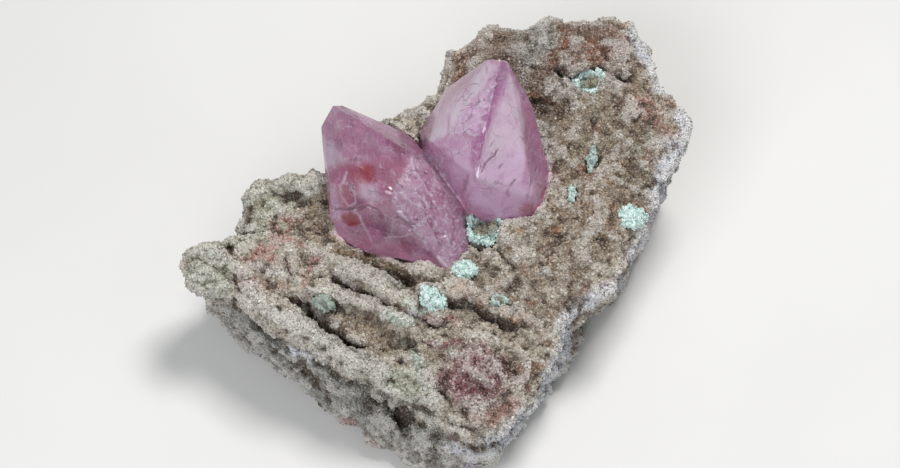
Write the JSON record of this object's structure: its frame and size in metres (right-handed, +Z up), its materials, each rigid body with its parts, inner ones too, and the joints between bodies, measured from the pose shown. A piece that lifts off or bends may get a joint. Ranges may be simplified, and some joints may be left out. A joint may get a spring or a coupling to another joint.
{
  "type": "cobaltoan calcite crystal specimen",
  "caption": "Loose mineral specimen: intergrown pink dogtooth calcite crystals and pale green crusts on a rough matrix rock that lies on its flat back.",
  "frame": {"origin": "on the resting plane, below the middle of the rock's flat back", "axes": "+Z up from the resting plane; +X along the rock's longest side, from the rounded knob to the broad end; +Y toward the high end"},
  "size_m": [0.0789, 0.0714, 0.0394],
  "materials": {
    "matrix": "rough",
    "calcite": "glossy",
    "crust": "rough"
  },
  "bodies": {
    "root": {"matrix_rock": "matrix", "calcite_crystals": "calcite", "crust_between_crystals": "crust", "crust_at_crystal_tip": "crust", "crust_on_ledge": "crust", "crust_in_top_cavity": "crust", "crust_by_right_edge": "crust", "crust_streak_upper": "crust", "crust_streak_lower": "crust", "crust_below_block": "crust", "crust_in_left_trough": "crust"}
  },
  "joints": []
}
